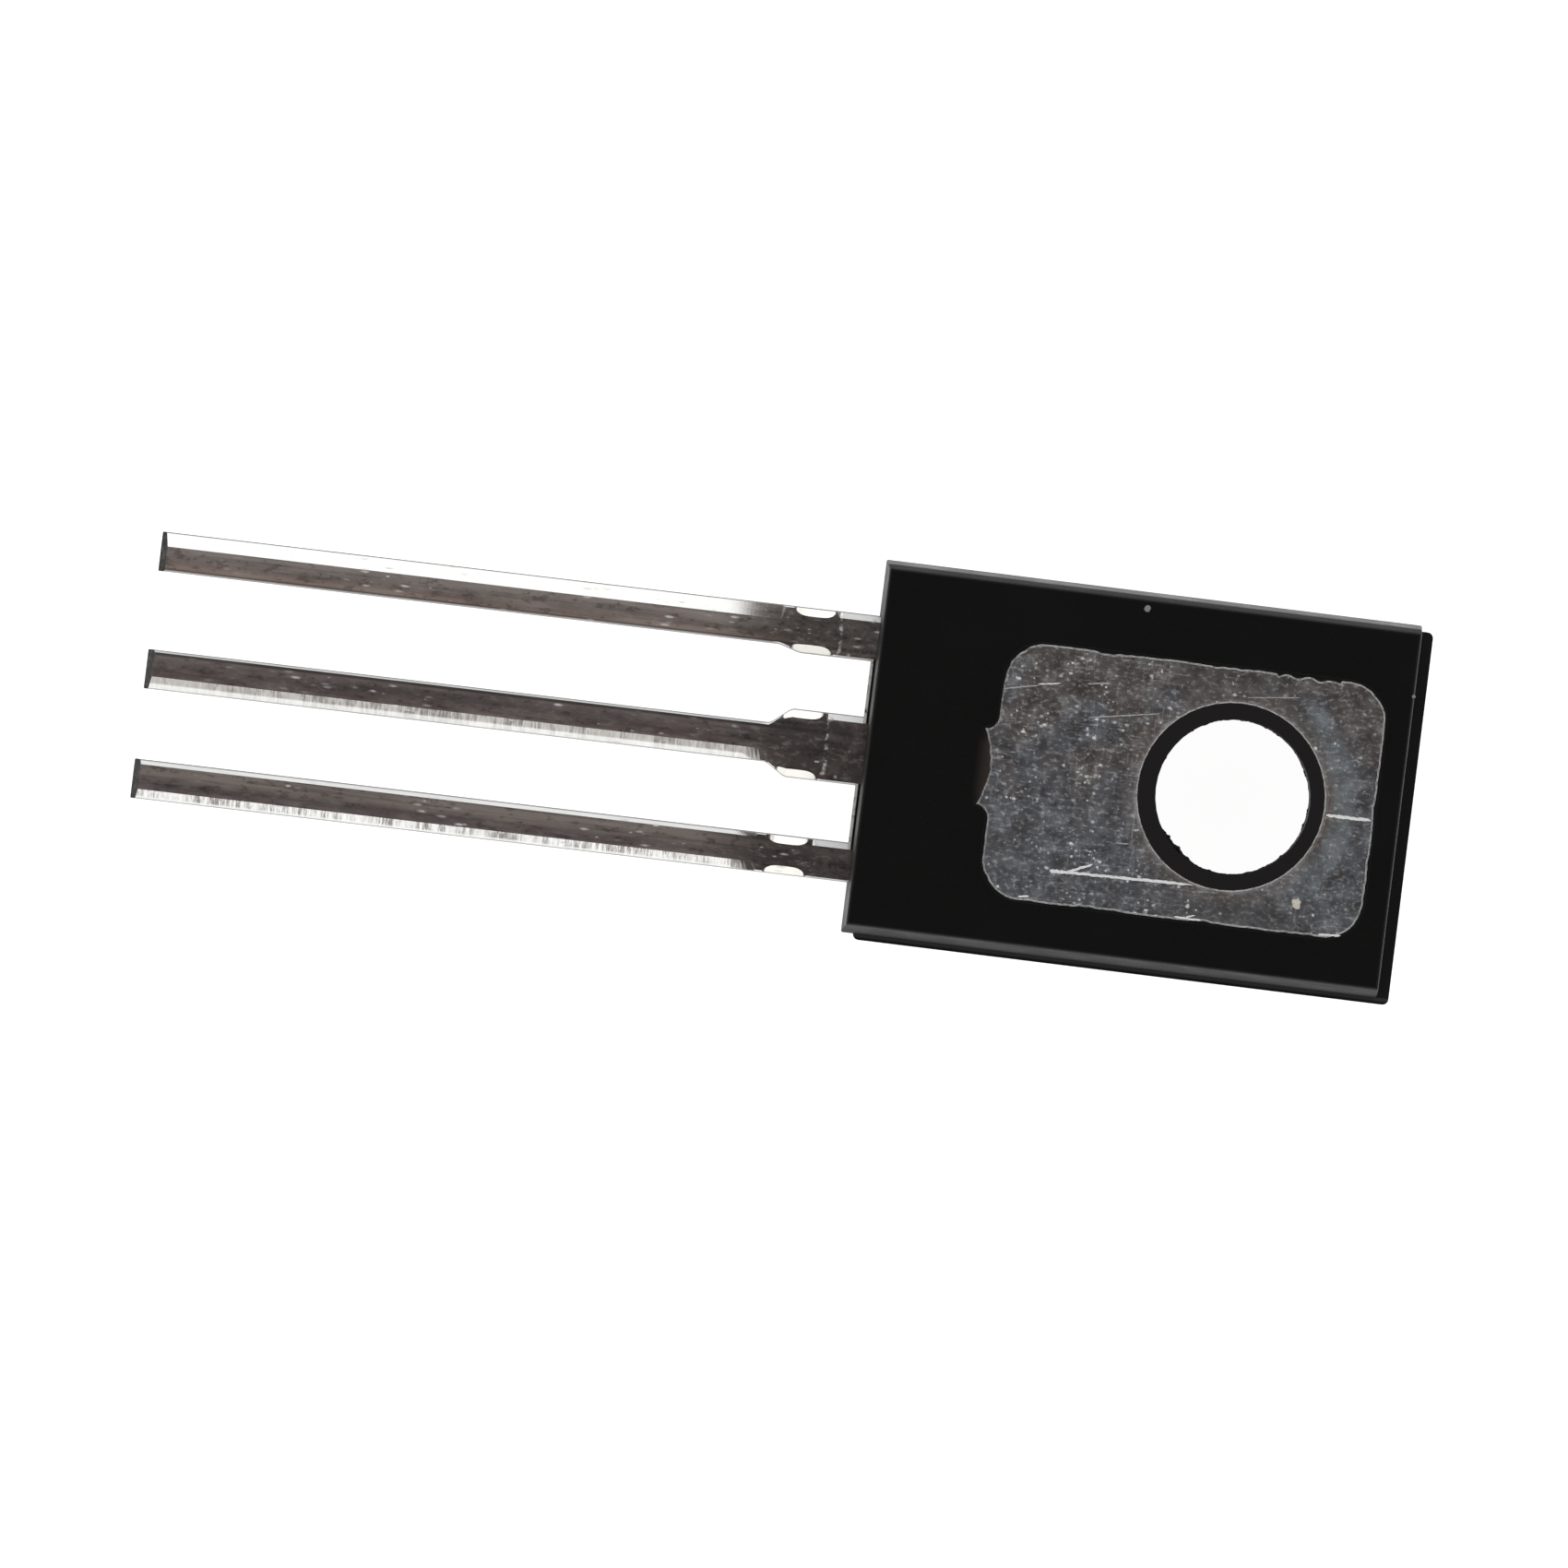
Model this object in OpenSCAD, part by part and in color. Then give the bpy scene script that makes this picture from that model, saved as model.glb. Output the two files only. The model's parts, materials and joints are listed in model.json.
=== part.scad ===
// Power transistor: a moulded body round a stamped copper frame, with three flat leads in a row
// and a bare mounting plate on the back.
// The origin is the centre of the mounting hole, on the mounting face. +Z leaves the mounting
// face, +X runs to the hole end of the body, and the leads run along -X. Lengths are millimetres.

/* [Body] */
// Length of the body at its parting line
body_length = 11; // [10.6:0.1:11.6]
// Width of the body at its parting line
body_width = 7.65; // [7.3:0.05:8.2]
// Thickness of the body, from the mounting face to the front face
body_thickness = 2.7; // [2.6:0.05:3.2]
// Distance from the mounting hole to the hole end of the body
hole_setback = 3.72; // [3.6:0.02:4.2]
// Draft of the two long sides, in degrees
side_draft = 7.5; // [3:0.5:10]
// Draft of the two end walls, in degrees
end_draft = 3; // [1:0.5:8]
// Radius of the edges round the two faces
edge_radius = 0.06; // [0.02:0.01:0.15]
// Radius of the four corners of the front half
front_corner_radius = 0.12; // [0.05:0.01:0.3]
// Radius of the four corners of the back half
back_corner_radius = 0.04; // [0.02:0.01:0.3]
// How far the back half sits towards the leads, as the two mould halves met
mould_shift_x = 0.25; // [0:0.01:0.3]
// How far the back half sits to the base side, as the two mould halves met
mould_shift_y = 0.12; // [0:0.01:0.2]
// How far the resin left between the leads stands out of the lead end
dam_flash = 0.07; // [0.03:0.01:0.15]

/* [Mounting hole] */
// Diameter of the mounting hole, for an M3 screw
hole_diameter = 3.14; // [3:0.02:3.3]
// Length of the mounting hole before it widens to the recess
hole_land = 0.6; // [0.5:0.05:1.6]
// Diameter of the recess round the hole in the front face
recess_diameter = 3.7; // [3.5:0.05:4.2]

/* [Mounting plate] */
// Length of the bare part of the plate
pad_length = 7.8; // [7.2:0.02:7.9]
// Width of the bare part of the plate
pad_width = 5.24; // [4.8:0.02:5.6]
// Distance from the mounting hole to the bare part's edge at the hole end
pad_setback = 2.9; // [2.7:0.01:3]
// Corner radius of the bare part
pad_corner_radius = 0.8; // [0.4:0.05:1.2]
// Diameter of the hole in the plate, which the resin lines
pad_hole_diameter = 3.8; // [3.6:0.02:4]
// How far the hole in the plate sits towards the leads, off the mounting hole's axis
pad_hole_shift = 0.04; // [0:0.01:0.1]
// Thickness of the plate
plate_thickness = 0.5; // [0.4:0.05:0.6]
// Depth of the coined step round the bare part
coin_depth = 0.15; // [0.08:0.01:0.25]
// Width of the coined step round the bare part
coin_width = 0.3; // [0.15:0.01:0.4]
// Width of the neck between the plate and the collector lead
neck_width = 1.58; // [1.42:0.02:1.8]
// Radius of the fillets where the neck leaves the plate
neck_fillet = 0.27; // [0.15:0.01:0.35]
// Centre-line radius of the two bends in the neck
bend_radius = 0.4; // [0.32:0.02:0.5]
// Slope of the neck between its bends, in degrees
bend_angle = 45; // [35:1:60]

/* [Leads] */
// Distance between the centre lines of two neighbouring leads
lead_pitch = 2.29; // [2.2:0.01:2.4]
// Width of a lead's shank
lead_width = 0.81; // [0.6:0.01:0.9]
// Thickness of the leads
lead_thickness = 0.5; // [0.4:0.01:0.6]
// Depth of the leads' back faces below the mounting face
lead_depth = 0.95; // [0.85:0.05:1.1]
// Length of the leads outside the body
lead_length = 14.71; // [8:0.01:17]
// How far the base lead's shank stands outside its pitch line
base_shank_offset = 0.085; // [0:0.005:0.15]
// How far the emitter lead's shank stands inside its pitch line
emitter_shank_offset = 0.01; // [0:0.005:0.15]
// How far the collector lead's shank stands off the middle, towards the emitter side
collector_shank_offset = 0.035; // [0:0.005:0.15]
// Sideways drift of the lead tips, towards the emitter side
lead_drift = 0.08; // [0:0.01:0.2]
// Width of the collector lead next to the body
collector_root_width = 1.41; // [1.2:0.01:1.6]
// How much wider the base lead is next to the body, on its inner side
base_root_step = 0.13; // [0:0.01:0.2]
// Length of the wide roots, from the body to the shoulder
root_length = 1.54; // [1.3:0.02:2.2]
// Length of the shoulder that leads down to the shank
shoulder_length = 0.41; // [0.2:0.01:0.6]
// Distance from the body to where the dam bar was cut away
dam_start = 0.88; // [0.6:0.02:1.1]
// Length of the cut that took the dam bar away
dam_length = 0.84; // [0.5:0.02:1]
// Width of the scallop that the dam bar cut left on each edge
dam_bite = 0.18; // [0.08:0.01:0.25]
// Width of the edge bevel on the side away from the punch, near the body
root_bevel = 0.14; // [0.06:0.01:0.18]
// Width of the outer edge bevel along the base shank
base_outer_bevel = 0.3; // [0.1:0.01:0.34]
// Width of the outer edge bevel along the collector shank
collector_outer_bevel = 0.26; // [0.1:0.01:0.3]
// Width of the narrow edge bevel along the leads
narrow_bevel = 0.04; // [0.04:0.01:0.1]
// Width of the inner edge bevel along the collector shank
collector_inner_bevel = 0.05; // [0.04:0.01:0.2]
// Width of the inner edge bevel along the emitter shank
emitter_inner_bevel = 0.1; // [0.04:0.01:0.2]
// Width of the outer edge bevel along the emitter shank
emitter_outer_bevel = 0.2; // [0.04:0.01:0.25]
// Length over which the base shank's bevel runs out towards the body
base_bevel_fade = 1.3; // [0.3:0.1:2]
// Length over which the other shanks' bevels run out towards the body
bevel_fade = 0.5; // [0.3:0.1:2]
// Slope of the edge bevels, in degrees
bevel_slope = 32; // [15:1:40]
// Chamfer of the leads' front edges
front_chamfer = 0.03; // [0.01:0.01:0.08]
// Width of the steep roll outside the edge bevels
edge_roll = 0.025; // [0.01:0.005:0.035]
// Depth of the steep roll outside the edge bevels
edge_roll_depth = 0.07; // [0.02:0.01:0.1]
// Lean of the cut ends of the leads
tip_lean = 0.17; // [0.02:0.01:0.2]

/* [Chip and wires] */
// Side of the square chip
chip_size = 1.8; // [1:0.1:2.2]
// Thickness of the chip
chip_thickness = 0.25; // [0.15:0.01:0.35]
// Thickness of the solder under the chip
solder_thickness = 0.05; // [0.02:0.01:0.1]
// How far the solder stands out round the chip
solder_margin = 0.1; // [0.05:0.01:0.2]
// Width of the two bond posts, which are the inner ends of the outer leads
post_width = 1.7; // [1.3:0.05:1.9]
// Length of the two bond posts
post_length = 1.1; // [0.8:0.05:1.3]
// How far the bond posts stand inside the pitch lines of their leads
post_offset = 0.1; // [0:0.02:0.2]
// Distance from the lead end of the body to the bond posts
post_inset = 0.6; // [0.4:0.05:0.8]
// Diameter of the emitter wire
emitter_wire_diameter = 0.25; // [0.15:0.01:0.3]
// Diameter of the base wire
base_wire_diameter = 0.15; // [0.1:0.01:0.2]
// Rise of the wire loops above the straight line between their ends
wire_rise = 0.75; // [0.5:0.05:0.9]
// Length of the flattened foot at each end of a wire
wire_foot_length = 0.45; // [0.3:0.05:0.6]

/* [Hidden] */
$fn = 64;

// The resin halves meet along the front faces of the leads.
parting_depth = lead_depth + lead_thickness;
front_end_x = hole_setback;
front_centre_x = front_end_x - body_length / 2;
back_centre_x = front_centre_x - mould_shift_x;
exit_x = back_centre_x - body_length / 2;

// Plate, neck and leads.
pad_rear_x = pad_setback - pad_length;
plate_mid = -plate_thickness / 2;
lead_mid = -lead_depth - lead_thickness / 2;
neck_start_x = pad_rear_x - neck_fillet / 3;
neck_overlap = 0.4;
root_half = collector_root_width / 2;
neck_half = neck_width / 2;

// Chip, in the middle of the plate between the hole and the neck.
chip_x = (pad_rear_x - pad_hole_shift - pad_hole_diameter / 2) / 2;
chip_top = -plate_thickness - solder_thickness - chip_thickness;
post_x = exit_x + post_inset;
post_y = lead_pitch - post_offset;
post_corner_radius = 0.2;
foot_height_share = 0.6;
foot_width_share = 1.6;

// Facets: corners of the body, edges of the body, bends, and sections along a lead's root.
corner_steps = 4;
edge_steps = 3;
bend_steps = 4;
root_step = 0.08;

// One closed solid through rings of points that all have the same count. Each ring is
// counter-clockwise, seen from the last ring's side.
module loft(rings) {
    count = len(rings[0]);
    last = (len(rings) - 1) * count;
    sides = [for (k = [0 : len(rings) - 2], i = [0 : count - 1])
        let (j = (i + 1) % count, a = k * count, b = a + count)
        [a + i, b + i, b + j, a + j]];
    polyhedron(
        points = [for (ring = rings) each ring],
        faces = concat([[for (i = [0 : count - 1]) i]], sides,
                       [[for (i = [count - 1 : -1 : 0]) last + i]]),
        convexity = 4);
}

// Share of the way from a to b that s has come, from 0 to 1.
function way(s, a, b) = min(1, max(0, (s - a) / (b - a)));

// ---- Body ----

// A rectangle with round corners, level at height z.
function rounded_ring(centre, size, radius, z) = [
    for (quarter = [0 : 3], k = [0 : corner_steps])
        let (angle = 90 * quarter + 90 * k / corner_steps,
             side_x = (quarter == 0 || quarter == 3) ? 1 : -1,
             side_y = quarter < 2 ? 1 : -1)
        [centre[0] + side_x * (size[0] / 2 - radius) + radius * cos(angle),
         centre[1] + side_y * (size[1] / 2 - radius) + radius * sin(angle), z]];

// One mould half, drawn upwards from its parting line to a face with rounded edges.
module mould_half(centre, height, corner_radius) {
    wall = height - edge_radius;
    inset = [wall * tan(end_draft), wall * tan(side_draft)];
    size = [body_length, body_width];
    edge_rings = [for (k = [0 : edge_steps])
        let (angle = 90 * k / edge_steps,
             shrink = edge_radius * (1 - cos(angle)))
        rounded_ring(centre, size - 2 * inset - 2 * [shrink, shrink],
                     corner_radius - shrink * corner_radius / (2 * edge_radius),
                     wall + edge_radius * sin(angle))];
    loft(concat([rounded_ring(centre, size, corner_radius, 0)], edge_rings));
}

module back_half() {
    translate([0, 0, -parting_depth])
        mould_half([back_centre_x, mould_shift_y], parting_depth, back_corner_radius);
}

module front_half() {
    translate([0, 0, -parting_depth]) mirror([0, 0, 1])
        mould_half([front_centre_x, 0], body_thickness - parting_depth, front_corner_radius);
}

// Resin that filled the gap between two leads as far as the dam bar.
module dam_resin() {
    for (side = [-1, 1])
        translate([exit_x - dam_flash, side > 0 ? root_half / 2 : -lead_pitch, -parting_depth])
            cube([dam_flash + edge_radius + parting_depth * tan(end_draft),
                  lead_pitch - root_half / 2, lead_thickness]);
}

module screw_hole() {
    translate([0, 0, -body_thickness - 1]) cylinder(d = hole_diameter, h = body_thickness + 2);
    translate([0, 0, -body_thickness - 1])
        cylinder(d = recess_diameter, h = body_thickness + 1 - hole_land);
}

module body() {
    color([0.06, 0.06, 0.065])
    difference() {
        union() {
            back_half();
            front_half();
            dam_resin();
        }
        screw_hole();
        collector_frame();
        base_lead();
        emitter_lead();
        chip();
        chip_solder();
        base_wire();
        emitter_wire();
    }
}

// ---- Leads ----

// A lead's cross-section at x, between the edges low and high, about the mid height mid. Its
// back edges have the bevels low_bevel and high_bevel, each [width, depth], with a steep roll
// outside the bevel, and its front edges are chamfered. pitch tips it up the neck's slope, and
// lean sets its back face in along +X.
function section(x, low, high, mid, low_bevel, high_bevel, pitch = 0, lean = 0) =
    let (half = lead_thickness / 2,
         inner = function (bevel) half - bevel[1] * (1 - edge_roll / bevel[0]),
         outer = function (bevel) half - bevel[1] - edge_roll_depth,
         outline = [[low + front_chamfer, -half], [high - front_chamfer, -half],
                    [high, -half + front_chamfer],
                    [high, outer(high_bevel)], [high - edge_roll, inner(high_bevel)],
                    [high - high_bevel[0], half], [low + low_bevel[0], half],
                    [low + edge_roll, inner(low_bevel)], [low, outer(low_bevel)],
                    [low, -half + front_chamfer]])
    [for (p = outline)
        [x - p[1] * sin(pitch) + lean * (p[1] + half) / lead_thickness,
         p[0], mid + p[1] * cos(pitch)]];

// A bevel of that width at the full slope, as [width, depth].
function full_bevel(width) = [width, width * tan(bevel_slope)];

// Place of an edge at distance s from the body, between its places at the root and the shank.
function lead_edge(s, root, shank) =
    root + (shank - root) * way(s, root_length, root_length + shoulder_length)
    - lead_drift * s / lead_length;

// An edge's bevel at distance s from the body, as [width, depth]: the root's as far as the dam
// bar's scallop, then a narrow one, then the shank's, which deepens over the length fade.
function lead_bevel(s, root, shank, fade) =
    let (dam_middle = dam_start + dam_length / 2,
         shoulder_end = root_length + shoulder_length,
         near = root + (narrow_bevel - root) * way(s, dam_start - root_step, dam_start),
         off = (s - dam_middle) / (dam_length / 2),
         scallop = dam_bite * sqrt(max(0, 1 - pow(off, 4))),
         depth = full_bevel(shank)[1] * way(s, shoulder_end, shoulder_end + fade))
    s > shoulder_end ? [shank, max(depth, full_bevel(narrow_bevel)[1])]
                     : full_bevel(max(near, scallop));

// Rings from a lead's tip to its exit from the body. roots and shanks are its [low, high]
// edges, and bevels the widths of its shank's [low, high] bevels.
function lead_rings(roots, shanks, bevels, fade) =
    let (worked = root_length + shoulder_length + fade,
         steps = ceil(worked / root_step),
         stations = concat([lead_length], [for (k = [steps : -1 : 0]) worked * k / steps]))
    [for (s = stations)
        section(exit_x - s,
                lead_edge(s, roots[0], shanks[0]), lead_edge(s, roots[1], shanks[1]), lead_mid,
                lead_bevel(s, narrow_bevel, bevels[0], fade),
                lead_bevel(s, root_bevel, bevels[1], fade),
                lean = s == lead_length ? tip_lean : 0)];

// The round post that carries a bond wire, at the inner end of an outer lead.
module bond_post(side) {
    translate([post_x, side * post_y - post_width / 2, -parting_depth])
        linear_extrude(lead_thickness)
            rounded_rectangle([post_length, post_width], post_corner_radius);
}

module rounded_rectangle(size, radius) {
    hole = [size[0] - 2 * radius, size[1] - 2 * radius];
    translate([radius, 0]) square([hole[0], size[1]]);
    translate([0, radius]) square([size[0], hole[1]]);
    for (x = [0, 1], y = [0, 1])
        translate([radius + x * hole[0], radius + y * hole[1]]) circle(r = radius);
}

// An outer lead, from its tip to the middle of its bond post.
module outer_lead(side, roots, shanks, bevels, fade) {
    rings = lead_rings(roots, shanks, bevels, fade);
    inner_end = section(post_x + post_length / 2, roots[0], roots[1], lead_mid,
                        full_bevel(narrow_bevel), full_bevel(root_bevel));
    loft(concat(rings, [inner_end]));
    bond_post(side);
}

function shank(centre) = [centre - lead_width / 2, centre + lead_width / 2];

base_shank = shank(lead_pitch + base_shank_offset);
base_root = [base_shank[0] - base_root_step, base_shank[1]];
emitter_shank = shank(-lead_pitch + emitter_shank_offset);
collector_shank = shank(-collector_shank_offset);

module base_lead() {
    color([0.72, 0.71, 0.7])
        outer_lead(1, base_root, base_shank, [narrow_bevel, base_outer_bevel],
                   base_bevel_fade);
}

module emitter_lead() {
    color([0.72, 0.71, 0.7])
        outer_lead(-1, emitter_shank, emitter_shank,
                   [emitter_outer_bevel, emitter_inner_bevel], bevel_fade);
}

// ---- Plate with the collector lead ----

// The neck climbs from the leads' level to the plate in two bends with a slope between.
neck_rise = plate_mid - lead_mid;
slope_length = (neck_rise - 2 * bend_radius * (1 - cos(bend_angle))) / sin(bend_angle);
neck_run = 2 * bend_radius * sin(bend_angle) + slope_length * cos(bend_angle);

function neck_section(x, z, pitch) =
    section(x, -neck_half, neck_half, z, full_bevel(narrow_bevel), full_bevel(root_bevel),
            pitch = pitch);

function neck_rings() = concat(
    [for (k = [0 : bend_steps])
        let (a = bend_angle * k / bend_steps)
        neck_section(neck_start_x - neck_run + bend_radius * sin(a),
                     lead_mid + bend_radius * (1 - cos(a)), a)],
    [for (k = [bend_steps : -1 : 0])
        let (a = bend_angle * k / bend_steps)
        neck_section(neck_start_x - bend_radius * sin(a),
                     plate_mid - bend_radius * (1 - cos(a)), a)],
    [neck_section(neck_start_x + neck_overlap, plate_mid, 0)]);

// The bare part's outline: a rounded rectangle with the filleted root of the neck.
module pad_outline() {
    difference() {
        union() {
            translate([pad_rear_x, -pad_width / 2])
                rounded_rectangle([pad_length, pad_width], pad_corner_radius);
            difference() {
                translate([pad_rear_x - neck_fillet, -neck_half - neck_fillet])
                    square([neck_fillet + coin_width, neck_width + 2 * neck_fillet]);
                for (side = [-1, 1])
                    translate([pad_rear_x - neck_fillet, side * (neck_half + neck_fillet)])
                        circle(r = neck_fillet);
            }
        }
        neck_relief();
    }
}

// The bend's first line, which runs in an arc from one fillet's end to the other.
module neck_relief() {
    sag = neck_fillet * 2 / 3;
    radius = (neck_half * neck_half + sag * sag) / (2 * sag);
    translate([neck_start_x - radius, 0]) circle(r = radius);
}

// The coined flange, which the resin holds.
module flange_outline() {
    translate([pad_rear_x - coin_width, -pad_width / 2 - coin_width])
        rounded_rectangle([pad_length + 2 * coin_width, pad_width + 2 * coin_width],
                          pad_corner_radius + coin_width);
}

module plate() {
    difference() {
        union() {
            translate([0, 0, -coin_depth]) linear_extrude(coin_depth) pad_outline();
            translate([0, 0, -plate_thickness])
                linear_extrude(plate_thickness - coin_depth) flange_outline();
        }
        translate([-pad_hole_shift, 0, -plate_thickness - 1])
            cylinder(d = pad_hole_diameter, h = plate_thickness + 2);
    }
}

module collector_frame() {
    color([0.62, 0.61, 0.6]) {
        plate();
        loft(concat(lead_rings([-root_half, root_half], collector_shank,
                               [collector_outer_bevel, collector_inner_bevel], bevel_fade),
                    neck_rings()));
    }
}

// ---- Chip and wires ----

module chip() {
    color([0.35, 0.36, 0.42])
        translate([chip_x - chip_size / 2, -chip_size / 2, chip_top])
            cube([chip_size, chip_size, chip_thickness]);
}

module chip_solder() {
    side = chip_size + 2 * solder_margin;
    color([0.6, 0.6, 0.58])
        translate([chip_x - side / 2, -side / 2, -plate_thickness - solder_thickness])
            cube([side, side, solder_thickness]);
}

// A bond wire from the chip to a post: a round arc with a flattened foot at each end.
// It is drawn in the upright plane through both ends, then turned into place.
module bond_wire(side, diameter) {
    start = [chip_x - chip_size / 4, side * chip_size / 4];
    end = [post_x + post_length / 2, side * post_y];
    heading = atan2(end[1] - start[1], end[0] - start[0]);
    span = norm(end - start);
    fall = chip_top + parting_depth;
    chord = norm([span, fall]);
    tilt = atan2(fall, span);
    radius = (chord * chord / 4 + wire_rise * wire_rise) / (2 * wire_rise);
    half_angle = asin(chord / 2 / radius);
    foot = [wire_foot_length, foot_width_share * diameter, foot_height_share * diameter];
    translate([start[0], start[1], chip_top]) rotate([0, 0, heading]) {
        translate([0, 0, -diameter / 2]) rotate([-90, 0, 0]) rotate([0, 0, tilt])
            translate([chord / 2, wire_rise - radius, 0]) rotate([0, 0, 90 - half_angle])
                rotate_extrude(angle = 2 * half_angle)
                    translate([radius, 0]) circle(d = diameter, $fn = 32);
        translate([-foot[0] / 2, -foot[1] / 2, -foot[2]]) cube(foot);
        translate([span - foot[0] / 2, -foot[1] / 2, -fall - foot[2]]) cube(foot);
    }
}

module base_wire() {
    color([0.8, 0.8, 0.82]) bond_wire(1, base_wire_diameter);
}

module emitter_wire() {
    color([0.8, 0.8, 0.82]) bond_wire(-1, emitter_wire_diameter);
}

body();
collector_frame();
base_lead();
emitter_lead();
chip();
chip_solder();
base_wire();
emitter_wire();
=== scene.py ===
"""The power transistor on a plain pale floor, seen from straight above its mounting plate."""
import json
import math
import random

import bmesh
import bpy
import numpy as np
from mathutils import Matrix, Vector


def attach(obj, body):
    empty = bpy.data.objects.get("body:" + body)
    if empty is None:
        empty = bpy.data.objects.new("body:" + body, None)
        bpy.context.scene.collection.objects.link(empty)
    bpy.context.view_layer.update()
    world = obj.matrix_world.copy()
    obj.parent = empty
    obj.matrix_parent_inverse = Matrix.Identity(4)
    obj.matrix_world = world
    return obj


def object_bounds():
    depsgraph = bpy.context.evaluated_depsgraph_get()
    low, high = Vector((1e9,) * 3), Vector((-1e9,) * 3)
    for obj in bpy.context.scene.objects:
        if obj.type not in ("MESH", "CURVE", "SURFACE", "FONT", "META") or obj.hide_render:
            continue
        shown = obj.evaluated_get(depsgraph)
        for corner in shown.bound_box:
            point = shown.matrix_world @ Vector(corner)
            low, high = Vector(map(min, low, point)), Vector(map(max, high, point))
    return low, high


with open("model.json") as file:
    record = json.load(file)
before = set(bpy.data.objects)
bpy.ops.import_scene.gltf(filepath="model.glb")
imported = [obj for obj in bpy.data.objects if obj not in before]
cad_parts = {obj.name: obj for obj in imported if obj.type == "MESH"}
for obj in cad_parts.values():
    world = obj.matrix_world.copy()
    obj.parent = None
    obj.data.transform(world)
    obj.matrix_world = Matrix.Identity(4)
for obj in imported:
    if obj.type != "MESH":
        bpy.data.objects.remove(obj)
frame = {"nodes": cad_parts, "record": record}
cad_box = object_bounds()

# Lengths in this script are millimetres of the part's frame, unless a name says otherwise.
MM = 0.001
FLOOR_Z = cad_box[0][2] / MM

# The photograph's view: its scale at the mounting plate, its turn and the point at its centre. The
# height is a guess, and the sensor's width is only a convention.
PHOTO_WIDTH_PX = 1700
PX_PER_MM = 53.6
VIEW_TURN_DEG = 7.05
VIEW_CENTRE = (-9.046, -0.854)
CAMERA_HEIGHT = 190.0
SENSOR = 36.0
CLIP_M = (0.005, 10.0)


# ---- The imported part's own outlines ----

def face_loops(node, level, tolerance=1e-3, upward=0.9):
    """The closed outlines of a node's flat face at that height, each as an array of points."""
    mesh = frame["nodes"][node].data
    places = np.array([v.co for v in mesh.vertices]) / MM
    # Corners that meet get one key. Adding zero turns a negative zero into a plain one.
    keys = [tuple(p) for p in np.round(places, 2) + 0.0]
    exact = dict(zip(keys, places))
    edges = set()
    for polygon in mesh.polygons:
        if polygon.normal.z < upward or any(abs(places[i][2] - level) > tolerance
                                            for i in polygon.vertices):
            continue
        corners = [keys[i] for i in polygon.vertices]
        edges.update((a, b) for a, b in zip(corners, corners[1:] + corners[:1]) if a != b)
    after = {a: b for a, b in edges if (b, a) not in edges}
    loops = []
    while after:
        loop = [min(after)]
        while loop[-1] in after:
            loop.append(after.pop(loop[-1]))
        loops.append(np.array([exact[key] for key in loop[:-1]])[:, :2])
    return sorted(loops, key=lambda points: -np.ptp(points[:, 0]))


# From the record: the radius and length of the hole's narrow part.
screw_hole = next(m for m in frame["record"]["mounts"] if m["name"] == "screw_hole")
HOLE_R = screw_hole["dims"]["r_mm"]
LAND = screw_hole["dims"]["length_mm"]

# From the mesh: the plate's outline and the hole in it, and where the leads end.
plate_outline, plate_hole = face_loops("collector_frame", 0.0)[:2]
HOLE_RIM_R = float(np.ptp(plate_hole[:, 0])) / 2
HOLE_RIM_X = float(plate_hole[:, 0].min()) + HOLE_RIM_R
TIP_X = cad_box[0][0] / MM

# The leads, as in the part's source: where they leave the body, the lengths along them, their
# pitch, their sideways drift and the height of their back faces.
LEAD_END_X = -7.53
DAM_START, DAM_LENGTH = 0.88, 0.84
ROOT_LENGTH, SHOULDER_LENGTH, LEAD_LENGTH = 1.54, 0.41, 14.71
LEAD_PITCH = 2.29
LEAD_DRIFT = 0.08 / LEAD_LENGTH
LEAD_TOP = -0.95
SCALLOP_X = (LEAD_END_X - DAM_START, LEAD_END_X - DAM_START - DAM_LENGTH)
SHOULDER_X = LEAD_END_X - ROOT_LENGTH - SHOULDER_LENGTH

# Places where the looks change. Between two values in brackets the change is gradual.
# On the resin: the dull band of the base side's wall, the ledge along the parting line, and the
# thin film that covers the start of the neck.
DULL_BAND_Z = (-0.85, -0.5)
LEDGE_Z = (-1.0, -1.1)
PALE_LEDGE_Y = -3.73
FILM_START_X, FILM_END_X = (-5.3, -5.0), (-4.8, -4.9)
FILM_MIDDLE_Y, FILM_HALF_WIDTH = -0.05, 0.45
FILM_Z = (-0.1, -0.05)
# On the plate: how deep it reaches, where it grows busy with specks and brown, the faint pale arc
# at the hole end, and the darker strips on both sides of the hole.
PLATE_Z = (-0.6, -0.5)
BUSY_X = (1.2, -1.2)
BROWN_Y = (-1.2, 2.4)
ARC_R, ARC_X = 2.3, (1.0, 1.7)
BESIDE_HOLE_Y, BESIDE_HOLE_HALF_LENGTH = (1.7, 2.2), 1.2
# On the leads: where the base lead and the middle lead lie, where they turn dark towards the body,
# the press's line across them, and across each lead the middle of its flat and its line of painted
# edge shade.
BASE_LEAD_Y = (1.1, 1.2)
MIDDLE_LEAD_HALF = 1.0
NEAR_BODY_X = (-11.2, -8.9)
PRESS_LINE_X, PRESS_LINE_BOW, PRESS_LINE_WAVE = -8.35, -0.14, 0.16
BASE_FLAT_Y, OTHER_FLAT_Y = -0.08, 0.03
DARK_EDGE_Y, BASE_DARK_EDGE_Y = 0.3, -0.285


# ---- Materials ----

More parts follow.
